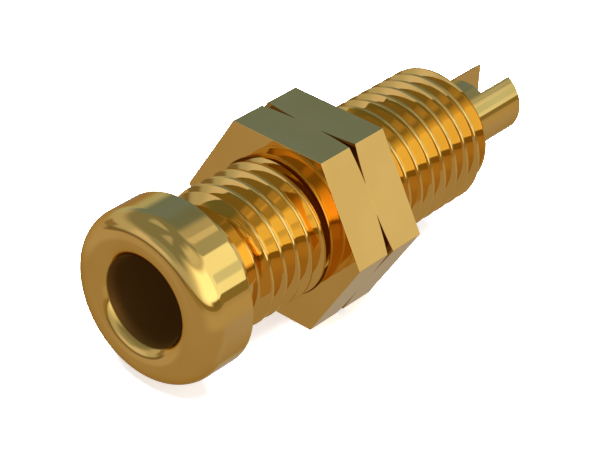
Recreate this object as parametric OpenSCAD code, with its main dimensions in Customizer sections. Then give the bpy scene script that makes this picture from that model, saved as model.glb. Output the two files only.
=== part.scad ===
// Panel socket for a 4 mm plug: a turned brass body with a threaded shank and a slotted solder tail,
// and two thin hexagon nuts on the shank.
// Units are millimetres. The socket's axis is Y, with the plug's side at -Y and the solder tail at +Y.
// The origin is on the axis, in the flat rear face of the head, which is the face that seats on a panel.
// The thread itself is cut in the visual model: here the shank is a plain cylinder of the thread's outer diameter.

/* [Head] */
// Outer diameter of the head
head_d = 8.2; // [7.6:0.05:9.9]
// Length of the head in front of the panel
head_l = 2.75; // [1.8:0.05:4.4]
// Rounding of the head's front outer edge
head_round = 1.1; // [0.3:0.05:1.15]

/* [Plug bore] */
// Diameter of the plug bore
bore_d = 4; // [3.6:0.05:4.2]
// Depth of the bore's straight wall and its rounded mouth, from the front of the head
bore_depth = 17; // [12:0.5:17.5]
// Rounding of the bore's mouth
bore_lip = 0.9; // [0.1:0.05:0.95]
// Included angle of the drill point at the bottom of the bore
drill_angle = 118; // [90:2:140]

/* [Shank] */
// Outer diameter of the thread
thread_d = 6.6; // [6.2:0.1:7]
// Distance from the head's rear face to the end of the thread
thread_end = 17.45; // [16.8:0.05:22]
// Bevel at the end of the thread
thread_bevel = 0.1; // [0.05:0.05:0.5]
// Diameter of the relief groove behind the head
relief_d = 5.7; // [5.4:0.05:6]
// Distance from the head's rear face to the end of the relief groove's straight bottom
relief_w = 1.7; // [1:0.1:2.2]
// Rounding between the head's rear face and the relief groove
relief_round = 0.5; // [0.1:0.05:0.55]

/* [Solder tail] */
// Diameter of the tail
tail_d = 3.45; // [2.6:0.05:4.4]
// Length of the tail behind the thread
tail_l = 4.75; // [3.3:0.05:8.8]
// Width of the slot across the tail's end
slot_w = 1.65; // [0.7:0.05:2]
// Depth of the slot along the tail
slot_l = 2.25; // [1.1:0.05:3.1]

/* [Nuts] */
// Size across the flats
nut_af = 8.8; // [8.4:0.1:11]
// Thickness of each nut
nut_t = 2.1; // [1.6:0.1:2.7]
// Distance from the head's rear face to the front nut
nut_place = 5.8; // [2.2:0.1:7.7]
// Gap between the two nuts
nut_gap = 0.02; // [0.01:0.01:0.05]
// Radial clearance between the nuts and the shank
nut_clearance = 0.04; // [0.02:0.01:0.08]
// Angle between a nut's face and the bevel on its corners
bevel_angle = 17; // [10:1:30]
// Distance outside the flats' inner circle at which the corner bevel starts
bevel_start = 0.05; // [0.02:0.01:0.2]

/* [Hidden] */
head_r = head_d / 2;
bore_r = bore_d / 2;
thread_r = thread_d / 2;
relief_r = relief_d / 2;
tail_r = tail_d / 2;
tail_end = thread_end + tail_l;
// The groove's rear side is a 45 degree run up to the thread's outer diameter
relief_side = thread_r - relief_r;
relief_end = relief_w + relief_side;
bore_bottom = bore_depth - head_l;
drill_point = bore_r / tan(drill_angle / 2);
nut_corner_r = nut_af / 2 / cos(30);
nut_hole_r = thread_r + nut_clearance;
rear_nut_place = nut_place + nut_t + nut_gap;
// Overrun of cutters past the faces that they cut
over = 0.5;
// Depth to which the relief's rounding is sunk into the metal that it joins
sunk = 0.1;
gold = [0.83, 0.62, 0.24];
pale_gold = [0.86, 0.68, 0.32];
deep_gold = [0.78, 0.56, 0.2];
$fn = 96;

// Turns what is built along Z, so that it lies along Y
module along_axis() {
    rotate([-90, 0, 0])
        children();
}

// Ring that takes the square front edge off the head, leaving the rounded one
module head_edge_cutter() {
    rotate_extrude()
        translate([head_r - head_round, -head_l])
            difference() {
                translate([0, -over])
                    square([head_round + over, head_round + over]);
                translate([0, head_round])
                    circle(r = head_round);
            }
}

// Ring that rounds the mouth of the plug bore
module bore_lip_cutter() {
    rotate_extrude()
        translate([0, -head_l])
            difference() {
                translate([0, -over])
                    square([bore_r + bore_lip, bore_lip + over]);
                translate([bore_r + bore_lip, bore_lip])
                    circle(r = bore_lip);
            }
}

// Plug bore with its rounded mouth and drill point
module plug_bore() {
    translate([0, 0, -head_l - over])
        cylinder(r = bore_r, h = bore_depth + over);
    translate([0, 0, bore_bottom])
        cylinder(r1 = bore_r, r2 = 0, h = drill_point);
    bore_lip_cutter();
}

module head() {
    difference() {
        translate([0, 0, -head_l])
            cylinder(r = head_r, h = head_l);
        head_edge_cutter();
    }
}

// Relief groove, shank and bevelled thread end, drawn as one turned outline
module shank() {
    rotate_extrude()
        polygon([
            [0, -head_l / 2],
            [relief_r, -head_l / 2],
            [relief_r, relief_w],
            [thread_r, relief_end],
            [thread_r, thread_end - thread_bevel],
            [thread_r - thread_bevel, thread_end],
            [0, thread_end]
        ]);
}

// Ring that fills the corner between the head's rear face and the relief groove with a hollow rounding
module relief_rounding() {
    rotate_extrude()
        translate([relief_r, 0])
            difference() {
                translate([-sunk, -sunk])
                    square([relief_round + sunk, relief_round + sunk]);
                translate([relief_round, relief_round])
                    circle(r = relief_round);
            }
}

// Solder tail with a slot straight across its end
module tail() {
    difference() {
        translate([0, 0, thread_end - over])
            cylinder(r = tail_r, h = tail_l + over);
        translate([-slot_w / 2, -tail_r - over, tail_end - slot_l])
            cube([slot_w, tail_d + 2 * over, slot_l + over]);
    }
}

module socket_body() {
    color(gold)
        along_axis()
            difference() {
                union() {
                    head();
                    shank();
                    relief_rounding();
                    tail();
                }
                plug_bore();
            }
}

// Hexagon nut that stands on its plain face, with the bevelled corners at its far face
module nut() {
    bevel_r = nut_af / 2 + bevel_start;
    difference() {
        intersection() {
            cylinder(r = nut_corner_r, h = nut_t, $fn = 6);
            cylinder(r1 = bevel_r + nut_t / tan(bevel_angle), r2 = bevel_r, h = nut_t);
        }
        translate([0, 0, -over])
            cylinder(r = nut_hole_r, h = nut_t + 2 * over);
    }
}

module front_nut() {
    color(pale_gold)
        along_axis()
            translate([0, 0, nut_place])
                nut();
}

module rear_nut() {
    color(deep_gold)
        along_axis()
            translate([0, 0, rear_nut_place + nut_t])
                mirror([0, 0, 1])
                    nut();
}

socket_body();
front_nut();
rear_nut();
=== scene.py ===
from math import cos, pi, radians, sin, tan

import bpy
from mathutils import Matrix, Vector


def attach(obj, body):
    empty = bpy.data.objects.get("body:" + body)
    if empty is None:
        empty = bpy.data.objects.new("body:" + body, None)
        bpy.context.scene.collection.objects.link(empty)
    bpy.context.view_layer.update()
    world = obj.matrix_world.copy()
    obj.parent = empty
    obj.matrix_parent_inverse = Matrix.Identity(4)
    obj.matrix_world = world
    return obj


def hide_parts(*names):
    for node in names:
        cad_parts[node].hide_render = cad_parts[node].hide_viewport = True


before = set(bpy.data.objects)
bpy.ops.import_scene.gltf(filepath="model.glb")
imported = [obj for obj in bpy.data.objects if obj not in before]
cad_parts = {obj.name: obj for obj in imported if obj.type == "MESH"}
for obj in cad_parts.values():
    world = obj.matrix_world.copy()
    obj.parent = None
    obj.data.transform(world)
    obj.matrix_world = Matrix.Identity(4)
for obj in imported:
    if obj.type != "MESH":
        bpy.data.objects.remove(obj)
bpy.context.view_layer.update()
print("frame loaded:", sorted(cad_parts))

# Pieces are drawn in millimetres round the Y axis, then brought down to metres
mm = 0.001
weldGap, tinyEdge, onFace = 0.0005, 0.0001, 0.001  # closeness, in those millimetres


def deselectAll():
    if bpy.context.object and bpy.context.object.mode != "OBJECT":
        bpy.ops.object.mode_set(mode="OBJECT")
    bpy.ops.object.select_all(action="DESELECT")


def pick(piece):
    deselectAll()
    piece.select_set(True)
    bpy.context.view_layer.objects.active = piece


def editAll(piece):
    pick(piece)
    bpy.ops.object.mode_set(mode="EDIT")
    bpy.ops.mesh.select_all(action="SELECT")


def arcPoints(centre, radius, fromAngle, toAngle, steps):
    turns = [radians(fromAngle + (toAngle - fromAngle) * i / steps) for i in range(steps + 1)]
    return [(centre[0] + radius * cos(a), centre[1] + radius * sin(a)) for a in turns]


def drawWire(name, points):
    # one vertex dragged along the outline (radius, place on the axis)
    deselectAll()
    bpy.ops.mesh.primitive_plane_add(size=1)
    wire = bpy.context.object
    wire.name = wire.data.name = name
    bpy.ops.object.mode_set(mode="EDIT")
    bpy.ops.mesh.select_all(action="SELECT")
    bpy.ops.mesh.merge(type="CENTER")
    bpy.ops.transform.translate(value=(points[0][0], points[0][1], 0))
    for (r0, y0), (r1, y1) in zip(points, points[1:]):
        bpy.ops.mesh.extrude_region_move(TRANSFORM_OT_translate={"value": (r1 - r0, y1 - y0, 0)})
    bpy.ops.object.mode_set(mode="OBJECT")
    return wire


def closeUp(piece):
    editAll(piece)
    bpy.ops.mesh.remove_doubles(threshold=weldGap)
    bpy.ops.mesh.dissolve_degenerate(threshold=tinyEdge)
    bpy.ops.mesh.select_all(action="SELECT")
    bpy.ops.mesh.normals_make_consistent(inside=False)
    bpy.ops.object.mode_set(mode="OBJECT")


def turnOnLathe(name, points, segments):
    piece = drawWire(name, points)
    editAll(piece)
    bpy.ops.mesh.spin(steps=segments, angle=2 * pi, center=(0, 0, 0), axis=(0, 1, 0))
    closeUp(piece)
    return piece


def turnPlug(name, oneEnd, otherEnd, segments):
    # a solid between two round ends, each given as (radius, place on the axis)
    return turnOnLathe(name, [(0, oneEnd[1]), oneEnd, otherEnd, (0, otherEnd[1])], segments)


def cutWith(piece, cutter, operation):
    pick(piece)
    cut = piece.modifiers.new("cut", "BOOLEAN")
    cut.operation, cut.solver, cut.object = operation, "EXACT", cutter
    bpy.ops.object.modifier_apply(modifier="cut")
    bpy.data.objects.remove(cutter)


def breakEdges(piece, width, sharpAngle):
    pick(piece)
    edge = piece.modifiers.new("brokenEdge", "BEVEL")
    edge.width, edge.limit_method, edge.angle_limit = width, "ANGLE", radians(sharpAngle)
    edge.segments = 1  # more would lean the shading of the long faces beside it
    bpy.ops.object.modifier_apply(modifier="brokenEdge")


def finishPiece(piece, body, node, finish, smoothAngle):
    pick(piece)
    piece.scale = (mm, mm, mm)
    bpy.ops.object.transform_apply(location=True, rotation=True, scale=True)
    bpy.ops.object.shade_smooth_by_angle(angle=radians(smoothAngle))
    piece.data.materials.clear()
    piece.data.materials.append(finish)
    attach(piece, body)
    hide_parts(node)
    print("made", piece.name, len(piece.data.polygons), "faces")


class Wire:
    # a shader socket that takes part in sums
    def __init__(self, tree, socket):
        self.tree, self.socket = tree, socket

    def node(self, kind, settings, sockets, out=0):
        made = self.tree.nodes.new(kind)
        for key, value in settings.items():
            setattr(made, key, value)
        for key, value in sockets.items():
            if isinstance(value, Wire):
                self.tree.links.new(value.socket, made.inputs[key])
            else:
                made.inputs[key].default_value = value
        return Wire(self.tree, made.outputs[out])

    def sum(self, operation, first, second=0.0):
        return self.node("ShaderNodeMath", {"operation": operation}, {0: first, 1: second})

    def split(self):
        parts = self.node("ShaderNodeSeparateXYZ", {}, {0: self}).socket.node
        return [Wire(self.tree, out) for out in parts.outputs]

    def between(self, low, high):
        # 0 up to low, 1 from high on, and a smooth step from one to the other
        ends = {"Value": self, "From Min": low, "From Max": high}
        return self.node("ShaderNodeMapRange", {"interpolation_type": "SMOOTHSTEP"}, ends)

    def blend(self, under, over):
        # this wire is the mask that lays one colour over another
        colours = {"Factor": self, 6: under, 7: over}  # a Mix node's colours are its sockets 6 and 7
        return self.node("ShaderNodeMix", {"data_type": "RGBA"}, colours, 2)

    def __add__(self, other):
        return self.sum("ADD", self, other)

    def __radd__(self, other):
        return self.sum("ADD", other, self)

    def __sub__(self, other):
        return self.sum("SUBTRACT", self, other)

    def __rsub__(self, other):
        return self.sum("SUBTRACT", other, self)

    def __mul__(self, other):
        return self.sum("MULTIPLY", self, other)

    def __rmul__(self, other):
        return self.sum("MULTIPLY", other, self)


# Gold plating: turned pieces have rings round the axis, and bar stock has lines along it
plating = {
    "colour": (0.88, 0.575, 0.168), "deepColour": (0.85, 0.54, 0.148), "edgeTint": (0.75, 0.6, 0.4),
    "roughness": (0.02, 0.05),
    "filmSize": 2.5, "filmSpan": (0.3, 0.7), "filmDetail": 3,
    "lineSize": 0.07, "lineDetail": 2, "lineHeight": 0.0005, "stretch": 40,
    # the plug bore and the nuts' holes, found by their distance from the axis: painted shade and a painted
    # glow of bounced light
    "boreShadeColour": (0.16, 0.08, 0.02), "boreRoughness": 0.6, "boreGlow": (0.018, 0.008, 0.0015),
    "boreEdge": (2.16, 2.22), "boreEnd": (16.5, 16.6),
    "holeEdge": (3.345, 3.36), "holeGlow": (0.06, 0.022, 0.004),
    # the nuts' bevels, found by their slope away from the seam: painted shade where the nuts meet
    "seam": 7.91, "bevelFoot": 4.45, "bevelSlope": 0.306, "bevelShadeColour": (0.42, 0.24, 0.06),
    "bevelSkin": (0.012, 0.025), "bevelFade": (0, 0.01),
}


def goldFinish(name, s, turned):
    finish = bpy.data.materials.new(name)
    finish.use_nodes = True
    tree = finish.node_tree
    start = Wire(tree, None)
    place = start.node("ShaderNodeTexCoord", {}, {}, "Object")
    x, y, z = [part * (1 / mm) for part in place.split()]
    out = start.sum("SQRT", x * x + z * z)
    across = (out, y, 0.0) if turned else (x, y * (1 / s["stretch"]), z)
    grain = start.node("ShaderNodeCombineXYZ", {}, dict(enumerate(across)))
    fine = {"Vector": grain, "Scale": 1 / s["lineSize"], "Detail": s["lineDetail"]}
    broad = {"Vector": place, "Scale": 1 / (s["filmSize"] * mm), "Detail": s["filmDetail"]}
    lines, film = [start.node("ShaderNodeTexNoise", {}, pattern) for pattern in (fine, broad)]
    smooth, rough = s["roughness"]
    colour = film.between(*s["filmSpan"]).blend((*s["deepColour"], 1), (*s["colour"], 1))
    roughness = smooth + (rough - smooth) * (0.5 * film + 0.5 * lines)
    if turned:
        inside = (1 - out.between(*s["boreEdge"])) * (1 - y.between(*s["boreEnd"]))
    else:
        inside = 1 - out.between(*s["holeEdge"])
        # the bevels where the nuts meet are painted darker, as shade in the notch between them
        rise = (out - s["bevelFoot"]) * s["bevelSlope"]
        off = start.sum("ABSOLUTE", start.sum("ABSOLUTE", y - s["seam"]) - rise)
        shadedBevel = (1 - off.between(*s["bevelSkin"])) * rise.between(*s["bevelFade"])
        colour = shadedBevel.blend(colour, (*s["bevelShadeColour"], 1))
    # inside, the plug bore and the nuts' holes are rougher, painted dark brown as their shade, and given a
    # painted glow for the light that bounces about there
    colour = inside.blend(colour, (*s["boreShadeColour"], 1))
    roughness = roughness + (s["boreRoughness"] - roughness) * inside
    glow = inside.blend((0, 0, 0, 1), (*s["boreGlow" if turned else "holeGlow"], 1))
    ridges = {"Strength": 1.0, "Distance": s["lineHeight"] * mm, "Height": lines}
    bump = start.node("ShaderNodeBump", {}, ridges)
    sockets = tree.nodes["Principled BSDF"].inputs
    varied = {"Base Color": colour, "Roughness": roughness, "Emission Color": glow, "Normal": bump}
    for socket, wire in varied.items():
        tree.links.new(wire.socket, sockets[socket])
    sockets["Metallic"].default_value = sockets["Emission Strength"].default_value = 1.0
    sockets["Specular Tint"].default_value = (*s["edgeTint"], 1)
    print("mixed", name)
    return finish


turnedGold = goldFinish("turnedGold", plating, True)
barGold = goldFinish("barGold", plating, False)

# Socket body: head and plug bore, neck, thread and tail
socketBody = {
    "segments": 144, "smoothAngle": 28, "roundSteps": 20, "neckSteps": 10, "edgeSteps": 3,
    "headRadius": 4.1, "headLength": 2.75, "headRound": 1.1, "rearEdge": 0.04,
    "boreRadius": 2.0, "boreBottom": 14.25, "boreLip": 0.9, "drillAngle": 118,
    # rings along the straights keep their shading flat
    "boreRings": (8, 3, 1), "rimRing": 0.05, "headRings": (-0.7, -0.1), "bendRing": 0.1,
    "neckRadius": 3.03, "neckRound": 0.5, "neckBend": 0.7, "neckTaper": 15, "neckEnd": 1.7, "runIn": 30,
    "threadRadius": 3.3, "threadEnd": 17.45, "threadBevel": 0.1, "coreRadius": 2.6, "coreEnd": 16.9,
    "pitch": 0.858, "crestAngle": 25, "crestPlace": 2.09, "crestFlat": 0.13, "flankAngle": 26,
    "rootRadius": 2.74, "crestRound": 0.03, "rootRound": 0.14, "flankPoints": (0.08, 0.92),
    "clear": 0.2, "spareTurns": 3,
    "tailRadius": 1.725, "tailEnd": 22.2, "tailRooted": 0.5, "tailEdge": 0.03, "sharpAngle": 40,
    "slotWidth": 1.65, "slotDepth": 2.25,
}


def neckAt(s, place):
    # the neck narrows towards the thread
    return s["neckRadius"] - max(place - s["neckBend"], 0) * tan(radians(s["neckTaper"]))


def coreOutline(s):
    # the turned body without its thread and tail
    front = -s["headLength"]
    bore, lip, head, rim, edge = s["boreRadius"], s["boreLip"], s["headRadius"], s["headRound"], s["rearEdge"]
    drillTip = s["boreBottom"] + bore / tan(radians(s["drillAngle"] / 2))
    points = [(0, drillTip), (bore, s["boreBottom"])]
    points += [(bore, front + lip + d) for d in s["boreRings"]]
    points += arcPoints((bore + lip, front + lip), lip, 180, 270, s["roundSteps"])
    points += arcPoints((head - rim, front + rim), rim, -90, 0, s["roundSteps"])
    points += [(head, y) for y in (front + rim + s["rimRing"], *s["headRings"])]
    points += arcPoints((head - edge, -edge), edge, 0, 90, s["edgeSteps"])
    bend = (s["neckRadius"] + s["neckRound"], s["neckRound"])
    points += arcPoints(bend, s["neckRound"], 270, 180, s["neckSteps"])
    inThread = s["neckEnd"] + s["pitch"] / 2
    points += [(neckAt(s, y), y) for y in (s["neckBend"], s["neckBend"] + s["bendRing"], inThread)]
    points += [(s["coreRadius"], inThread)]
    return points + [(s["coreRadius"], s["coreEnd"]), (0, s["coreEnd"])]


def ridgeOutline(s):
    # one ridge of the thread, from root to root, as (radius, distance from the crest)
    half, tip, low, lean = s["crestFlat"] / 2, s["threadRadius"], s["rootRadius"], s["flankAngle"]
    foot = half + (tip - low) * tan(radians(lean))
    inset = tan(radians(90 - lean) / 2)
    crest, root, steps = s["crestRound"], s["rootRound"], s["edgeSteps"]
    top = arcPoints((tip - crest, half - crest * inset), crest, 0, 90 - lean, steps)
    bottom = arcPoints((low + root, foot + root * inset), root, 270 - lean, 180, steps)
    # a point near each end of the flank keeps its shading flat
    (r0, d0), (r1, d1) = top[-1], bottom[0]
    flank = [(r0 + (r1 - r0) * k, d0 + (d1 - d0) * k) for k in s["flankPoints"]]
    side = top + flank + bottom + [(low, s["pitch"] / 2)]
    return [(r, -d) for r, d in reversed(side)] + side


def envelopeOutline(s):
    # what the thread is cut from: a tube with a steep run-in at the neck and a bevelled end
    inner, clear, steep = (s["boreRadius"] + s["coreRadius"]) / 2, s["clear"], tan(radians(s["runIn"]))
    start, end, most = s["neckEnd"], s["threadEnd"], s["threadRadius"] + clear
    foot, inTail = neckAt(s, start), s["tailRadius"] - clear
    points = [(inner, start - clear * steep), (foot - clear, start - clear * steep)]
    points += [(most, start + (most - foot) * steep), (most, end - s["threadBevel"] - clear)]
    points += [(s["threadRadius"] - s["threadBevel"], end), (inTail, end)]
    points += [(inTail, s["coreEnd"] - 2 * clear), (inner, s["coreEnd"] - 3 * clear)]
    return points + [points[0]]


def cutThread(s):
    first = s["crestPlace"] + s["pitch"] * s["crestAngle"] / 360
    first -= s["pitch"] * (int((first - s["neckEnd"]) / s["pitch"]) + s["spareTurns"])
    turns = int((s["threadEnd"] - first) / s["pitch"]) + s["spareTurns"]
    thread = drawWire("thread", [(r, first + d) for r, d in ridgeOutline(s)])
    bpy.ops.object.modifier_add(type="SCREW")
    helix = thread.modifiers[-1]
    helix.axis, helix.angle, helix.screw_offset = "Y", 2 * pi, s["pitch"]
    helix.iterations, helix.steps, helix.render_steps = turns, s["segments"], s["segments"]
    bpy.ops.object.modifier_apply(modifier=helix.name)
    closeUp(thread)
    editAll(thread)
    bpy.ops.mesh.fill_holes(sides=0)
    # the caps are not flat, so the helix comes out inside out unless it is turned like this
    bpy.ops.mesh.normals_make_consistent(inside=True)
    bpy.ops.object.mode_set(mode="OBJECT")
    cutWith(thread, turnOnLathe("threadEnvelope", envelopeOutline(s), s["segments"]), "INTERSECT")
    return thread


def turnTail(s):
    radius, end = s["tailRadius"], s["tailEnd"]
    tail = turnPlug("tail", (radius, s["coreEnd"] - s["tailRooted"]), (radius, end), s["segments"])
    deselectAll()
    slot = (s["slotWidth"], 2 * s["slotDepth"], 4 * radius)  # half its depth lies past the tail's end
    bpy.ops.mesh.primitive_cube_add(size=1, location=(0, end, 0), scale=slot)
    cutWith(tail, bpy.context.object, "DIFFERENCE")
    closeUp(tail)
    breakEdges(tail, s["tailEdge"], s["sharpAngle"])
    return tail


def makeSocketBody(s):
    body = turnOnLathe("socketBody", coreOutline(s), s["segments"])
    for part in (turnTail(s), cutThread(s)):
        cutWith(body, part, "UNION")
    closeUp(body)
    return body


body = makeSocketBody(socketBody)
finishPiece(body, "socket", "socket_body", turnedGold, socketBody["smoothAngle"])

# Two thin hexagon nuts, bevelled where they meet
hexNut = {
    "acrossFlats": 8.8, "thickness": 2.108, "holeRadius": 3.34, "frontPlace": 5.8, "gap": 0.004,
    "bevelAngle": 17, "bevelStart": 0.05, "edge": 0.008, "edgeSteps": 2, "sharpAngle": 30,
    "segments": 96, "smoothAngle": 12, "coneDepth": 3, "holeSpare": 1,
}


def makeNut(name, s, front, bevelTowards):
    thick, radius = s["thickness"], s["holeRadius"]
    middle, corners = front + thick / 2, s["acrossFlats"] / 2 / cos(pi / 6)
    deselectAll()
    bpy.ops.mesh.primitive_cylinder_add(vertices=6, radius=corners, depth=thick, location=(0, middle, 0),
                                        rotation=(pi / 2, pi / 6, 0))
    nut = bpy.context.object
    nut.name = nut.data.name = name
    bpy.ops.object.transform_apply(location=True, rotation=True, scale=True)
    # a wide cone takes the corners off on the side that meets the other nut
    deep = s["coneDepth"] * thick
    small = s["acrossFlats"] / 2 + s["bevelStart"]
    big = small + deep / tan(radians(s["bevelAngle"]))
    top = middle + bevelTowards * thick / 2
    cone = turnPlug("bevelCone", (small, top), (big, top - bevelTowards * deep), s["segments"])
    cutWith(nut, cone, "INTERSECT")
    before, after = front - s["holeSpare"], front + thick + s["holeSpare"]
    cutWith(nut, turnPlug("nutHole", (radius, before), (radius, after), s["segments"]), "DIFFERENCE")
    closeUp(nut)
    # all sharp edges are broken but those of the face that meets the other nut
    editAll(nut)
    bpy.ops.mesh.select_mode(type="EDGE")
    bpy.ops.mesh.select_all(action="DESELECT")
    bpy.ops.mesh.edges_select_sharp(sharpness=radians(s["sharpAngle"]))
    bpy.ops.object.mode_set(mode="OBJECT")
    for edge in nut.data.edges:
        if all(abs(nut.data.vertices[i].co.y - top) < onFace for i in edge.vertices):
            edge.select = False
    bpy.ops.object.mode_set(mode="EDIT")
    bpy.ops.mesh.bevel(offset=s["edge"], segments=s["edgeSteps"], affect="EDGES")
    bpy.ops.mesh.select_mode(type="VERT")
    closeUp(nut)
    return nut


frontNut = makeNut("frontNut", hexNut, hexNut["frontPlace"], 1)
finishPiece(frontNut, "front_nut", "front_nut", barGold, hexNut["smoothAngle"])
rearNut = makeNut("rearNut", hexNut, hexNut["frontPlace"] + hexNut["thickness"] + hexNut["gap"], -1)
finishPiece(rearNut, "rear_nut", "rear_nut", barGold, hexNut["smoothAngle"])

# Floor under the nuts' lower flats
floorSet = {
    "height": -4.4, "below": 0.02, "middle": 9, "size": 600.0,
    "colour": (0.9, 0.9, 0.9), "roughness": 0.8, "glow": 0.6,
}


def layFloor(s):
    deselectAll()
    place = (0, s["middle"] * mm, (s["height"] - s["below"]) * mm)
    bpy.ops.mesh.primitive_plane_add(size=s["size"] * mm, location=place)
    floor = bpy.context.object
    floor.name = "floor"
    floor.visible_glossy = False  # the polished metal mirrors the studio in its place
    paint = bpy.data.materials.new("palePaper")
    paint.use_nodes = True
    paper = paint.node_tree.nodes["Principled BSDF"].inputs
    paper["Base Color"].default_value = paper["Emission Color"].default_value = (*s["colour"], 1)
    paper["Roughness"].default_value, paper["Emission Strength"].default_value = s["roughness"], s["glow"]
    floor.data.materials.append(paint)
    print("laid the floor at", s["height"], "mm")


layFloor(floorSet)

# Camera at the photograph's angle
cameraSet = {
    "eye": (52.9034, -57.6686, 54.5039), "nudge": (-0.0437, -0.0315),
    "azimuth": 38.9237, "elevation": 33.3159, "roll": 3.398,
    "lens": 133.43, "sensor": 36, "nearest": 1, "furthest": 10000,
}


def placeCamera(s):
    a, e, t = radians(s["azimuth"]), radians(s["elevation"]), radians(s["roll"])
    back = Vector((sin(a) * cos(e), -cos(a) * cos(e), sin(e)))
    right = Vector((cos(a), sin(a), 0))
    up = back.cross(right)
    across = right * cos(t) + up * sin(t)
    over = up * cos(t) - right * sin(t)
    eye = Vector(s["eye"]) + across * s["nudge"][0] + over * s["nudge"][1]
    deselectAll()
    bpy.ops.object.camera_add()
    camera = bpy.context.object
    camera.data.lens, camera.data.sensor_width = s["lens"], s["sensor"]
    camera.data.clip_start, camera.data.clip_end = s["nearest"] * mm, s["furthest"] * mm
    turned = Matrix((across, over, back)).transposed().to_4x4()
    camera.matrix_world = Matrix.Translation(eye * mm) @ turned
    bpy.context.scene.camera = camera
    print("camera at", [round(c, 2) for c in eye], "mm")


placeCamera(cameraSet)

# Soft studio light by direction: a dim cool ceiling, a warm ground far below, and soft panels laid over them
studioLight = {
    "sky": (0.21, 0.24, 0.24), "ground": (0.35, 0.29, 0.22), "horizon": 0.01, "strength": 1.142,
    # each panel: towards, half its width, softness; bottom, top, softness (all degrees); colour
    "panels": [
        (0, 180, 0, -90, -45, 12, (0.33, 0.28, 0.25)),
        (170, 50, 20, -65, -20, 8, (0.39, 0.36, 0.40)),
        (-159, 12, 6, -56, -36, 6, (0.47, 0.53, 0.64)),
        (-80, 43, 25, -30, -2, 6, (0.43, 0.38, 0.36)),
        (95, 50, 25, -26, -6, 6, (0.43, 0.37, 0.29)),
        (-70, 101, 15, 0, 26, 8, (0.45, 0.47, 0.50)),
        (-27, 16, 6, 4, 20, 4, (0.61, 0.60, 0.68)),
        (-125, 20, 12, 3, 22, 6, (0.45, 0.56, 0.78)),
        (-159, 21, 10, 3, 55, 8, (0.15, 0.21, 0.27)),
        (-140, 25, 12, 18, 42, 6, (0.155, 0.25, 0.46)),
        (95, 64, 20, 2, 48, 8, (0.84, 0.89, 0.85)),
        (86, 33, 16, 5, 42, 6, (1.48, 1.42, 1.46)),
        (151, 22, 7, 1, 27, 3, (0.64, 0.65, 0.67)),
        (91, 39, 20, 47, 74, 8, (0.60, 0.63, 0.63)),
        (171, 17, 8, 19, 66, 6, (0.42, 0.44, 0.46)),
        (-97, 16, 8, 56, 80, 5, (0.42, 0.46, 0.50)),
        (-12, 12, 8, 57, 80, 5, (0.40, 0.42, 0.45)),
        (-12, 14, 6, 17, 34, 4, (0.29, 0.33, 0.35)),
        (75, 70, 12, -4, 2, 1, (0.22, 0.17, 0.07)),
        (10, 25, 12, -9, -2, 2, (0.28, 0.22, 0.12)),
        (103, 25, 10, 0, 7, 2, (0.18, 0.15, 0.07)),
        (-73, 11, 5, -1, 9, 2, (0.25, 0.21, 0.16)),
        (-32, 36, 6, -7, 1, 1.5, (0.19, 0.16, 0.11)),
        (129, 17, 1.5, 5, 41, 1, (0.96, 1.08, 1.12)),
        (137, 10, 3, 15.5, 24.5, 1.5, (0.66, 0.77, 0.85)),
        (133.5, 2.6, 0.6, 4, 12, 1, (0.65, 0.65, 0.66)),
        (149, 3, 1, 20, 41, 2, (0.62, 0.68, 0.82)),
        (158, 7, 1.5, 27, 41, 2, (0.32, 0.38, 0.44)),
        (153, 9, 1.5, 41, 49.2, 0.6, (0.36, 0.40, 0.42)),
        (167, 5, 2, 48.8, 57, 0.6, (0.60, 0.62, 0.64)),
        (178, 14, 4, 36, 46.5, 1.5, (0.21, 0.275, 0.37)),
        (156, 4, 1.5, 34.5, 40, 1.5, (0.43, 0.50, 0.57)),
        (142.5, 6, 1, 4, 13, 2, (0.72, 0.80, 0.95)),
        (143.5, 7, 1, 13, 28.5, 2, (0.57, 0.69, 0.79)),
        (133, 18, 3, -3, 5.3, 0.7, (0.22, 0.19, 0.09)),
    ],
    "steady": 0.0001,  # keeps the division sound straight up and down
    "lampHeight": 300, "lampPlace": 9, "lampSize": 300, "lampPower": 11.0,
}


def lightStudio(s):
    world = bpy.data.worlds.new("studio")
    bpy.context.scene.world = world
    world.use_nodes = True
    tree = world.node_tree
    start = Wire(tree, None)
    x, y, z = start.node("ShaderNodeTexCoord", {}, {}, "Generated").split()
    flat = start.sum("SQRT", x * x + y * y + s["steady"])
    colour = z.between(-s["horizon"], s["horizon"]).blend((*s["ground"], 1), (*s["sky"], 1))
    for towards, half, soft, bottom, top, softRise, shade in s["panels"]:
        facing = start.sum("DIVIDE", x * sin(radians(towards)) - y * cos(radians(towards)), flat)
        mask = facing.between(cos(radians(min(half + soft, 180))), cos(radians(max(half - soft, 0))))
        for rise, above in ((bottom, True), (top, False)):
            low, high = (sin(radians(max(min(rise + turn, 90), -90))) for turn in (-softRise, softRise))
            edge = z.between(low, high)
            mask = mask * (edge if above else 1 - edge)
        colour = mask.blend(colour, (*shade, 1))
    tree.links.new(colour.socket, tree.nodes["Background"].inputs["Color"])
    tree.nodes["Background"].inputs["Strength"].default_value = s["strength"]
    # a wide lamp overhead whitens the floor, and the polished metal does not mirror it
    deselectAll()
    bpy.ops.object.light_add(type="AREA", location=(0, s["lampPlace"] * mm, s["lampHeight"] * mm))
    lamp = bpy.context.object
    lamp.data.size, lamp.data.energy = s["lampSize"] * mm, s["lampPower"]
    lamp.visible_glossy = False
    print("lit by", len(s["panels"]), "panels and a lamp")


lightStudio(studioLight)
bpy.context.scene.view_settings.view_transform = "Standard"
